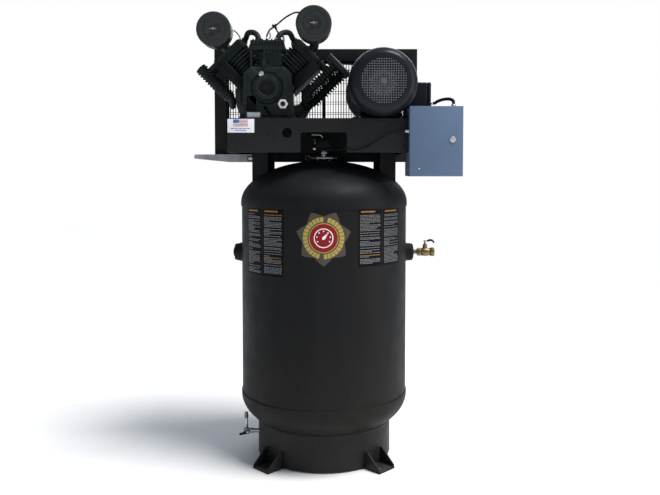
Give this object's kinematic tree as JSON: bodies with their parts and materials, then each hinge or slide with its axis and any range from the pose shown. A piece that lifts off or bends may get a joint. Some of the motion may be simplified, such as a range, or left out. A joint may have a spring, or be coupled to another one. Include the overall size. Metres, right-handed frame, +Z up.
{
  "type": "vertical tank air compressor",
  "caption": "Vertical receiver with a two-stage piston pump, belt guard, electric motor, starter enclosure and valves on a raised platform.",
  "frame": {"origin": "on the floor under the middle of the whole machine's bounding box", "axes": "+Z up, the pump's front towards -Y, the enclosure towards +X"},
  "size_m": [1.204, 0.762, 1.9778],
  "materials": {
    "black_powder": "satin black powder coat",
    "black_casting": "black painted casting",
    "motor_gloss": "glossy black enamel",
    "box_grey": "blue-grey enamel",
    "rail_grey": "worn grey paint",
    "zinc": "zinc plated",
    "brass": "bare brass",
    "steel": "machined steel",
    "cast_iron": "bare casting with machined rim",
    "aluminium": "machined",
    "rubber": "matte",
    "black_plastic": "matte",
    "white_plastic": "gloss",
    "conduit": "satin jacket"
  },
  "bodies": {
    "machine": {"tank_shell": "black_powder", "base_skirt": "black_powder", "foot_front_left": "black_powder", "foot_front_right": "black_powder", "foot_rear_left": "black_powder", "foot_rear_right": "black_powder", "side_plug": "black_powder", "platform": "black_powder", "leg_left": "black_powder", "leg_right": "black_powder", "filter_can_left": "black_powder", "filter_can_right": "black_powder", "filter_lid_left": "black_powder", "filter_lid_right": "black_powder", "belt_guard": "black_powder", "guard_front_mesh": "black_powder", "crankcase": "black_casting", "bearing_cover": "black_casting", "low_stage_cylinder_left": "black_casting", "low_stage_cylinder_right": "black_casting", "high_stage_cylinder": "black_casting", "low_stage_head_left": "black_casting", "low_stage_head_right": "black_casting", "high_stage_head": "black_casting", "air_deflector_left": "black_casting", "air_deflector_right": "black_casting", "intercooler_left": "black_casting", "intercooler_right": "black_casting", "crossover_left": "black_casting", "crossover_right": "black_casting", "motor_frame": "motor_gloss", "fan_cover": "motor_gloss", "junction_box": "motor_gloss", "enclosure_box": "box_grey", "guard_support_rail": "rail_grey", "drain_line": "zinc", "manifold_cross": "zinc", "outlet_valve_body": "brass", "drive_belts": "rubber", "pressure_switch": "black_plastic", "sight_glass": "white_plastic", "unloader_tubes": "conduit", "motor_conduit": "conduit", "control_cable": "conduit"},
    "crank": {"crankshaft": "steel", "flywheel": "cast_iron"},
    "motor_shaft": {"motor_rotor": "steel", "motor_sheave": "cast_iron"},
    "piston_low_left": {"low_stage_piston_left": "aluminium"},
    "piston_low_right": {"low_stage_piston_right": "aluminium"},
    "piston_high": {"high_stage_piston": "aluminium"},
    "drain_lever": {"drain_handle": "rubber"},
    "outlet_valve_key": {"outlet_valve_ball": "steel", "outlet_lever": "steel"},
    "relief_pull": {"relief_ring": "steel"},
    "switch_arm": {"switch_lever": "zinc"},
    "wing_left": {"wing_nut_left": "zinc"},
    "wing_right": {"wing_nut_right": "zinc"},
    "door": {"enclosure_door": "box_grey"},
    "lock": {"door_lock": "zinc"}
  },
  "joints": [
    {"name": "crank_spin", "type": "hinge", "parent": "machine", "child": "crank", "pos_m": [-0.225, 0, 1.655], "axis": [0, 1, 0], "continuous": true},
    {"name": "motor_spin", "type": "hinge", "parent": "machine", "child": "motor_shaft", "pos_m": [0.2713, 0, 1.6716], "axis": [0, 1, 0], "continuous": true},
    {"name": "piston_low_left_slide", "type": "slide", "parent": "machine", "child": "piston_low_left", "axis": [-0.7071, 0, 0.7071], "range_m": [-0.03, 0.03]},
    {"name": "piston_low_right_slide", "type": "slide", "parent": "machine", "child": "piston_low_right", "axis": [0.7071, 0, 0.7071], "range_m": [-0.03, 0.03]},
    {"name": "piston_high_slide", "type": "slide", "parent": "machine", "child": "piston_high", "axis": [0, 0, 1], "range_m": [-0.03, 0.03]},
    {"name": "drain_lever_turn", "type": "hinge", "parent": "machine", "child": "drain_lever", "pos_m": [-0.33, -0.072, 0.099], "axis": [0, 1, 0], "range_deg": [0, 90]},
    {"name": "outlet_valve_turn", "type": "hinge", "parent": "machine", "child": "outlet_valve_key", "pos_m": [0.488, 0, 0.922], "axis": [0, 0, 1], "range_deg": [0, 90]},
    {"name": "relief_pull_slide", "type": "slide", "parent": "machine", "child": "relief_pull", "axis": [-1, 0, 0], "range_m": [0, 0.006], "stiffness_N_per_m": 500},
    {"name": "switch_arm_turn", "type": "hinge", "parent": "machine", "child": "switch_arm", "pos_m": [-0.0178, 0, 1.425], "axis": [1, 0, 0], "range_deg": [0, 45]},
    {"name": "wing_left_turn", "type": "hinge", "parent": "machine", "child": "wing_left", "pos_m": [-0.4497, -0.24, 1.901], "axis": [0, -1, 0], "continuous": true},
    {"name": "wing_right_turn", "type": "hinge", "parent": "machine", "child": "wing_right", "pos_m": [-0.0208, -0.35, 1.9033], "axis": [0, -1, 0], "continuous": true},
    {"name": "door_swing", "type": "hinge", "parent": "machine", "child": "door", "pos_m": [0.3795, -0.3203, 1.4205], "axis": [0, 0, -1], "range_deg": [0, 120]},
    {"name": "lock_turn", "type": "hinge", "parent": "door", "child": "lock", "pos_m": [0.558, -0.322, 1.428], "axis": [0, -1, 0], "range_deg": [0, 90]}
  ],
  "couplings": [
    {"joint": "motor_spin", "follows": "crank_spin", "ratio": 1.2825}
  ]
}
